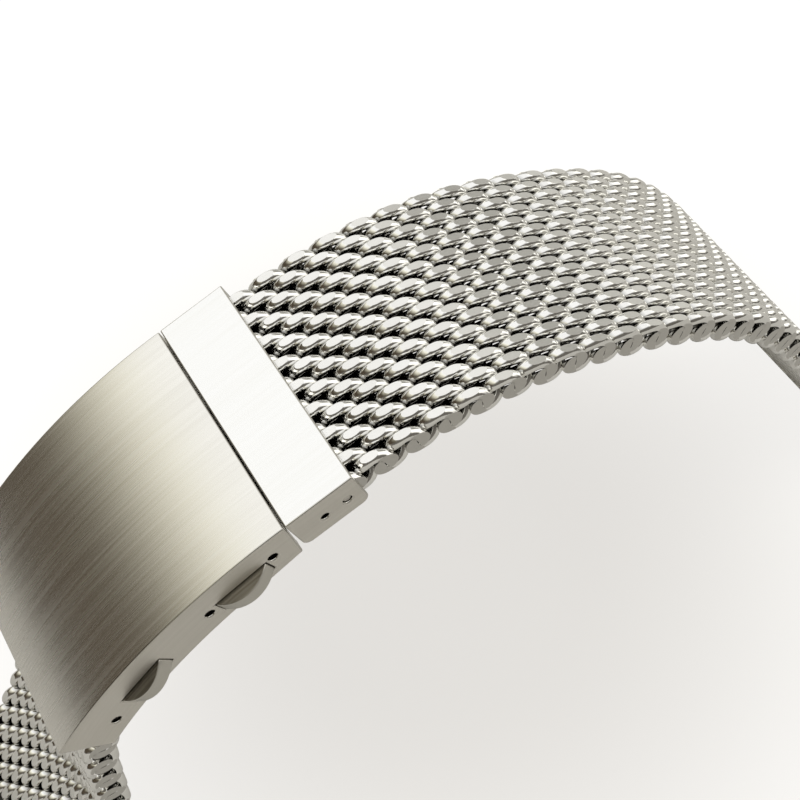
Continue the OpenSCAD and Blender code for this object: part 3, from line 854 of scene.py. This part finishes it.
def makeFloor():
    half = studioSettings["floorSize"] / 2
    mesh = bpy.data.meshes.new("floor")
    corners = [(-half, -half, 0), (half, -half, 0), (half, half, 0), (-half, half, 0)]
    mesh.from_pydata(corners, [], [(0, 1, 2, 3)])
    floor = addObject("floor", mesh)
    material, graph = newMaterial("paleFloor")
    place = split(graph, objectPoint(graph))
    # painted shadow: the floor's glow, which only the camera sees, is darker near the loop's middle
    middle, (inner, outer) = studioSettings["shadowMiddle"], studioSettings["shadowReach"]
    dx, dy = place.out("X") - middle.x, place.out("Y") - middle.y
    away = (dx * dx + dy * dy) ** 0.5
    shadowFade = ((away - inner) / (outer - inner)).clamp()
    shadowFade = shadowFade * shadowFade * (3.0 - shadowFade * 2.0)
    colour = mixColour(graph, shadowFade, studioSettings["floorShadow"], studioSettings["floorBright"])
    seen = graph.node("ShaderNodeLightPath").out("Is Camera Ray")
    lit = graph.node("ShaderNodeBsdfDiffuse", sockets={"Color": studioSettings["floorLit"]})
    glow = graph.node("ShaderNodeEmission", sockets={"Color": colour, "Strength": 1.0})
    share = seen * studioSettings["floorGlow"]
    finishMaterial(graph, graph.node("ShaderNodeMixShader", sockets={0: share, 1: lit, 2: glow}))
    mesh.materials.append(material)


def lightBand(graph, position):
    # soft light from left over the top to right, from the stops
    ramp = graph.tree.nodes.new("ShaderNodeValToRGB")
    band = ramp.color_ramp
    band.interpolation = "B_SPLINE"
    while len(band.elements) > 1:
        band.elements.remove(band.elements[-1])
    stops = studioSettings["stops"]
    band.elements[0].position, band.elements[0].color = stops[0][0], (*stops[0][1], 1)
    for place, colour in stops[1:]:
        band.elements.new(place).color = (*colour, 1)
    graph.plug(ramp.inputs[0], position)
    return Link(graph, ramp.outputs[0])


def makeWorld():
    world = bpy.data.worlds.new("studio")
    scene.world = world
    world.use_nodes = True
    world.node_tree.nodes.clear()
    graph = Graph(world.node_tree)
    ray = split(graph, graph.node("ShaderNodeTexCoord").out("Generated"))
    x, y, z = (ray.out(axis) for axis in "XYZ")
    sweep = x.maths("ARCTAN2", z.maths("MAXIMUM", 0.0)) / math.pi + 0.5  # 0 left, 0.5 overhead, 1 right
    # a bright panel at the right, and a dark front that the wires' near sides mirror
    start, sharpness = studioSettings["panelFrom"], studioSettings["panelSharpness"]
    panel = ((x - start) * sharpness).clamp() * ((start - y) * sharpness).clamp()
    room = mixColour(graph, panel, lightBand(graph, sweep), studioSettings["sideBright"])
    fall = studioSettings["frontFall"]
    low = (y * -fall).clamp() * ((studioSettings["frontTop"] - z) * fall).clamp()
    wall = ((y + studioSettings["frontWall"]) * -sharpness).clamp()
    room = mixColour(graph, low.maths("MAXIMUM", wall), room, studioSettings["frontDark"])
    seen = graph.node("ShaderNodeLightPath").out("Is Camera Ray")
    colour = mixColour(graph, seen, room, studioSettings["backdrop"])
    shade = graph.node("ShaderNodeBackground", sockets={"Color": colour, "Strength": 1.0})
    graph.plug(graph.tree.nodes.new("ShaderNodeOutputWorld").inputs["Surface"], shade)


makeFloor()
makeWorld()
scene.view_settings.view_transform = "Standard"
print("studio lit")
